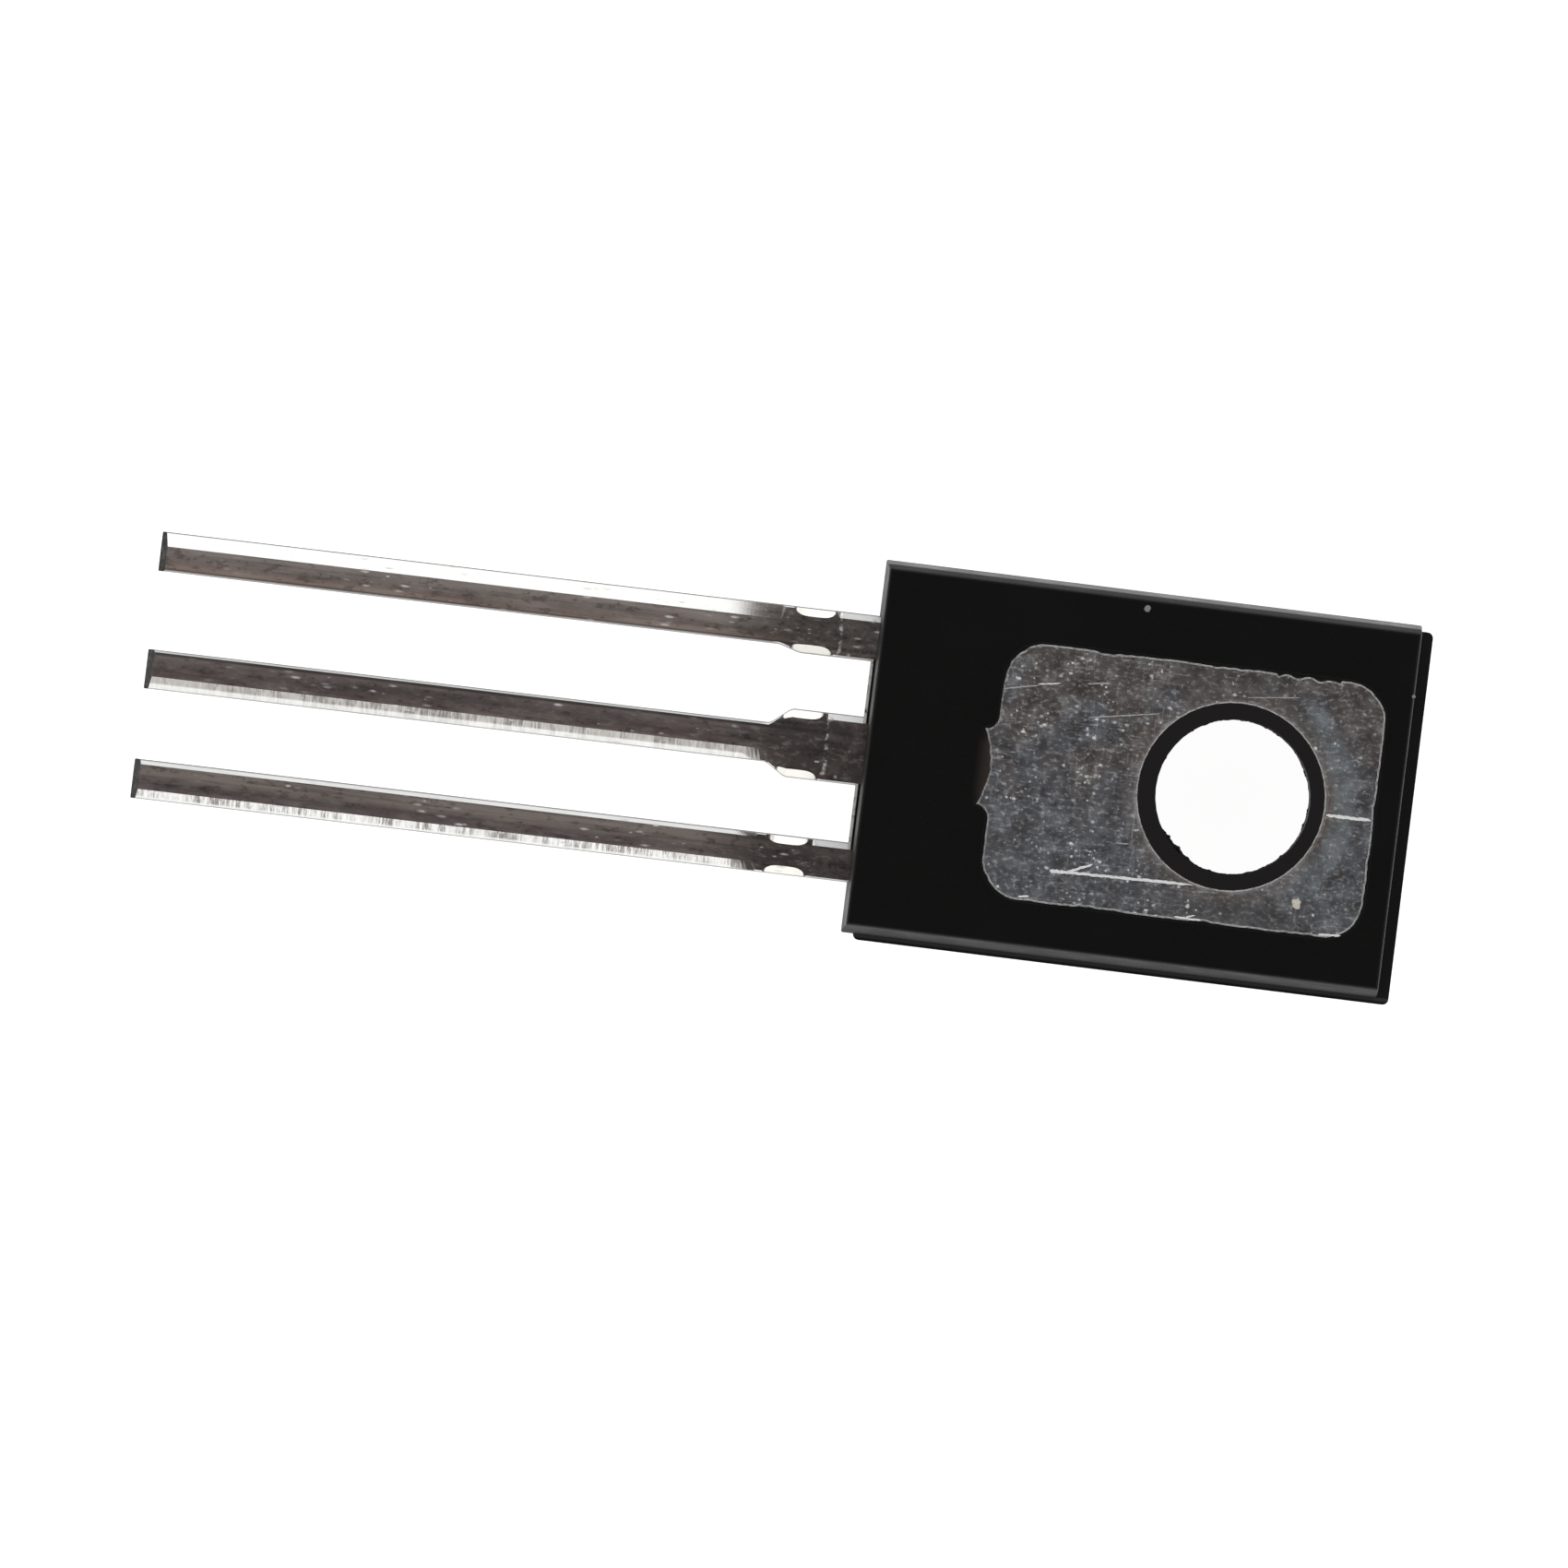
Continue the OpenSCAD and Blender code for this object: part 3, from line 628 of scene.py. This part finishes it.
def edge_roll(name, line, normals, start, offsets, lift):
    """The low rounded lip that the press left along an edge, set in from start by offsets."""
    sunk = np.full(len(line), -SUNK)
    heights = (sunk, lift * 0.8, lift, lift * 0.6, sunk)
    profile = [(start + offset, height) for offset, height in zip(offsets, heights)]
    profile_loop(name, line, normals, profile, BURR)


def plate_edge():
    """Resin flash, a ragged film over the plate's edge, and inside it the edge's rolled lip."""
    outline = even(plate_outline, OUTLINE_STEP)
    normals = inward(outline)
    count = len(outline)
    length = count * OUTLINE_STEP
    reach = 0.012 + 0.05 * waves(count, length, 3, [(2.2, 1.0), (0.8, 0.7), (0.3, 0.35)]) ** 2
    x, y = outline[:, 0], outline[:, 1]
    bumpy = (y > BUMPS_Y) & (x > BUMPS_X[0]) & (x < BUMPS_X[1])
    reach = reach + np.where(bumpy, 0.03 + 0.03 * np.sin(x * 14), 0)
    zero = np.zeros(count)
    film = [(zero - 0.03, zero - 0.003), (zero - 0.02, zero + FLASH_HEIGHT),
            (reach, zero + FLASH_HEIGHT), (reach + 0.004, zero - 0.003)]
    profile_loop("plate_resin_flash", outline, normals, film, RESIN)
    lift = 0.003 + 0.005 * waves(count, length, 8, [(1.4, 1.0), (0.35, 0.8), (0.12, 0.5)])
    lift = lift * np.where(x < NECK_X, 0.3, 1.0)
    edge_roll("plate_edge_roll", outline, normals, reach, (0, 0.01, 0.022, 0.03, 0.038), lift)


def plate_hole_edge():
    """The rolled lip round the plate's hole."""
    rim = even(plate_hole, OUTLINE_STEP)
    count = len(rim)
    lift = 0.003 + 0.004 * waves(count, count * OUTLINE_STEP, 5, [(1.1, 1.0), (0.3, 0.8)])
    edge_roll("hole_edge_roll", rim, inward(rim), np.zeros(count),
              (-0.002, 0.005, 0.013, 0.021, 0.028), lift)


def hole_flash():
    """Resin flash in the hole, at the end of its narrow part, with one longer tongue."""
    turn = np.linspace(0, 2 * math.pi, HOLE_FLASH_POINTS, endpoint=False)
    around = np.column_stack([np.cos(turn), np.sin(turn)])

    def ragged(seed, pitches):
        return waves(HOLE_FLASH_POINTS, 2 * math.pi * HOLE_R, seed, pitches)

    reach = 0.003 + 0.035 * ragged(11, [(1.2, 0.6), (0.3, 0.6), (0.12, 0.4)]) ** 2
    tongue = np.exp(-((np.degrees(turn) - TONGUE_DEG) / TONGUE_HALF_DEG) ** 4)
    reach = reach + tongue * (0.03 + 0.07 * ragged(12, [(0.35, 1.0), (0.13, 0.8)]))
    one = np.ones(HOLE_FLASH_POINTS)
    film = [(-0.01 * one, -LAND * one), (-0.01 * one, (-LAND + 0.04) * one),
            (reach, (-LAND + 0.03) * one), (reach, (-LAND + 0.012) * one)]
    profile_loop("hole_resin_flash", around * HOLE_R, -around, film, RESIN)


def scratch(name, start, end, width, height, material, seed):
    """A low raised sliver of bared metal from start to end, tapered and a little uneven."""
    generator = random.Random(seed)
    start, end = np.array(start, float), np.array(end, float)
    ahead = (end - start) / np.hypot(*(end - start))
    side = np.array([-ahead[1], ahead[0]])
    steps = max(6, int(np.hypot(*(end - start)) / SCRATCH_STEP))
    rings = []
    for k in range(steps + 1):
        share = k / steps
        taper = min(1.0, 0.4 + 12 * share, 0.15 + 10 * (1 - share)) * generator.uniform(0.7, 1.0)
        middle = start + (end - start) * share + side * generator.uniform(-0.1, 0.1) * width
        half = max(0.002, width / 2 * taper)
        rings.append([(*(middle - side * half), -SUNK),
                      (*(middle - side * half * 0.75), height),
                      (*(middle + side * half * 0.75), height),
                      (*(middle + side * half), -SUNK)])
    vertices = [tuple(p) for ring in rings for p in ring]
    faces = [(k * 4 + i, k * 4 + (i + 1) % 4, k * 4 + 4 + (i + 1) % 4, k * 4 + 4 + i)
             for k in range(steps) for i in range(4)]
    faces += [(0, 1, 2, 3), tuple(steps * 4 + i for i in range(4))]
    return piece(name, vertices, faces, material)


# The scratches on the plate: start, end and width. Each lies a little higher than the one before,
# so that no two tops share a plane where they cross.
LOWEST_SCRATCH, SCRATCH_RISE = 0.003, 0.0004
PLATE_SCRATCHES = {
    "long": ((-3.5, -1.936), (-0.59, -1.866), 0.07),
    "long_head": ((-3.5, -1.936), (-3.2, -1.93), 0.092),
    "branch": ((-3.21, -1.95), (-2.65, -1.7), 0.06),
    "right": ((1.92, -0.133), (2.83, -0.133), 0.078),
    "top_left": ((-4.87, 1.61), (-4.17, 1.76), 0.03),
    "top_a": ((-4.19, 1.78), (-3.74, 1.855), 0.03),
    "top_b": ((-3.2, 1.91), (-2.74, 1.98), 0.035),
    "slant": ((-3.11, 1.235), (-1.67, 1.49), 0.03),
    "top_c": ((0.04, 2.03), (1.11, 2.16), 0.022),
    "foot_a": ((-0.89, -2.55), (-0.33, -2.56), 0.05),
    "foot_b": ((-0.65, -2.53), (-0.47, -2.47), 0.035),
    "corner": ((2.05, -2.55), (2.5, -2.52), 0.055),
    "corner_b": ((-4.07, -2.53), (-3.85, -2.5), 0.05),
    "hook": ((-2.24, -1.215), (-1.97, -1.2), 0.03),
    "hook_b": ((-1.935, -0.4), (-1.93, -1.1), 0.014),
}
FAINT_SCRATCHES = ("top_left", "top_b", "slant", "top_c", "hook", "hook_b")


def mote(name, centre, size, seed, material=DUST, uneven=0.35):
    """A grain of dust, or with more unevenness a dried crumb."""
    generator = random.Random(seed)
    shape = bmesh.new()
    bmesh.ops.create_icosphere(shape, subdivisions=2, radius=1.0)
    for vertex in shape.verts:
        vertex.co *= 1.1 - uneven * generator.uniform(0.0, 1.0)
    vertices = [(centre[0] + v.co.x * size, centre[1] + v.co.y * size,
                 centre[2] + v.co.z * size * 0.4) for v in shape.verts]
    faces = [tuple(v.index for v in f.verts) for f in shape.faces]
    shape.free()
    return piece(name, vertices, faces, material)


plate_edge()
plate_hole_edge()
hole_flash()
for number, (name, (start, end, width)) in enumerate(PLATE_SCRATCHES.items()):
    scratch("plate_scratch_" + name, start, end, width, LOWEST_SCRATCH + SCRATCH_RISE * number,
            FAINT_SCRATCH if name in FAINT_SCRATCHES else SCRATCH, seed=number)
mote("dust_a", (-2.18, 3.57, 0.0), 0.07, 1)
mote("dust_b", (3.38, 2.46, 0.0), 0.04, 2)
mote("residue", (1.53, -1.97, 0.0), 0.13, 3, material=RESIDUE, uneven=0.6)


# ---- Floor, light and camera ----

# The floor's own glow lifts it to white for the camera and in reflections. It lights nothing else.
FLOOR_HALF_M, FLOOR_GREY, FLOOR_GLOW = 1.5, 0.75, 0.95
# The tent's sides are white up to the rim, and above the top (both as heights on a unit sphere)
# there is only the dim room. Flat metal reflects that room, as in the photograph. It also means
# that a flat, rough colour renders at 0.58 of what is written.
TENT_RIM, TENT_TOP = 0.5, 0.9
OVERHEAD = grey(0.1, (1.1, 0.98, 0.92))


def floor():
    """A plain floor that the part lies on."""
    mesh = bpy.data.meshes.new("floor")
    half, height = FLOOR_HALF_M, FLOOR_Z * MM
    mesh.from_pydata([(-half, -half, height), (half, -half, height),
                      (half, half, height), (-half, half, height)], [], [(0, 1, 2, 3)])
    made = bpy.data.objects.new("floor", mesh)
    bpy.context.scene.collection.objects.link(made)
    look = Look("floor_look", Roughness=0.9)
    look.shader.inputs["Base Color"].default_value = grey(FLOOR_GREY)
    look.shader.inputs["Specular IOR Level"].default_value = 0.0
    path = look.add("ShaderNodeLightPath")
    seen = look.math("MAXIMUM", path.outputs["Is Camera Ray"], path.outputs["Is Glossy Ray"])
    seen = look.math("MAXIMUM", seen, path.outputs["Is Transmission Ray"])
    look.shader.inputs["Emission Color"].default_value = grey(1.0)
    look.plug(look.times(seen, FLOOR_GLOW), look.shader.inputs["Emission Strength"])
    mesh.materials.append(look.material)


def softbox(name, azimuth_deg, elevation_deg, distance, width, height, radiance):
    """A lamp that faces the part, sizes in metres. Azimuth 0 is +X and 90 is +Y."""
    lamp = bpy.data.lights.new(name, "AREA")
    lamp.shape = "RECTANGLE"
    lamp.size, lamp.size_y = width, height
    lamp.energy = radiance * math.pi * width * height
    made = bpy.data.objects.new(name, lamp)
    azimuth, elevation = math.radians(azimuth_deg), math.radians(elevation_deg)
    made.location = (distance * math.cos(elevation) * math.cos(azimuth),
                     distance * math.cos(elevation) * math.sin(azimuth),
                     distance * math.sin(elevation))
    made.rotation_euler = (math.pi / 2 - elevation, 0, azimuth + math.pi / 2)
    bpy.context.scene.collection.objects.link(made)


def surroundings():
    """A light tent: white round the sides, open to a dim, slightly warm room overhead."""
    world = bpy.data.worlds.new("tent")
    bpy.context.scene.world = world
    world.use_nodes = True
    tree = world.node_tree
    coordinates = tree.nodes.new("ShaderNodeTexCoord")
    parts = tree.nodes.new("ShaderNodeSeparateXYZ")
    tree.links.new(coordinates.outputs["Generated"], parts.inputs[0])
    ramp = tree.nodes.new("ShaderNodeMapRange")
    ramp.interpolation_type = "SMOOTHSTEP"
    tree.links.new(parts.outputs[2], ramp.inputs[0])
    for socket, value in zip(ramp.inputs[1:5], (TENT_RIM, TENT_TOP, 0.0, 1.0)):
        socket.default_value = value
    light = tree.nodes.new("ShaderNodeMix")
    light.data_type = "RGBA"
    tree.links.new(ramp.outputs[0], light.inputs["Factor"])
    light.inputs["A"].default_value = grey(1.0)
    light.inputs["B"].default_value = OVERHEAD
    tree.links.new(light.outputs["Result"], tree.nodes["Background"].inputs["Color"])
    tree.nodes["Background"].inputs["Strength"].default_value = 1.0


def look_down():
    """The photograph's view: straight down, turned a little in the picture."""
    camera = bpy.data.cameras.new("camera")
    camera.sensor_width = SENSOR
    camera.lens = SENSOR * CAMERA_HEIGHT / (PHOTO_WIDTH_PX / PX_PER_MM)
    camera.clip_start, camera.clip_end = CLIP_M
    viewer = bpy.data.objects.new("camera", camera)
    viewer.location = (VIEW_CENTRE[0] * MM, VIEW_CENTRE[1] * MM, CAMERA_HEIGHT * MM)
    viewer.rotation_euler = (0, 0, math.radians(VIEW_TURN_DEG))
    bpy.context.scene.collection.objects.link(viewer)
    bpy.context.scene.camera = viewer


floor()
surroundings()
softbox("key", 100, 32, 0.45, 0.3, 0.2, 0.45)
softbox("fill", 280, 30, 0.45, 0.25, 0.15, 0.25)
look_down()
bpy.context.scene.view_settings.view_transform = "Standard"
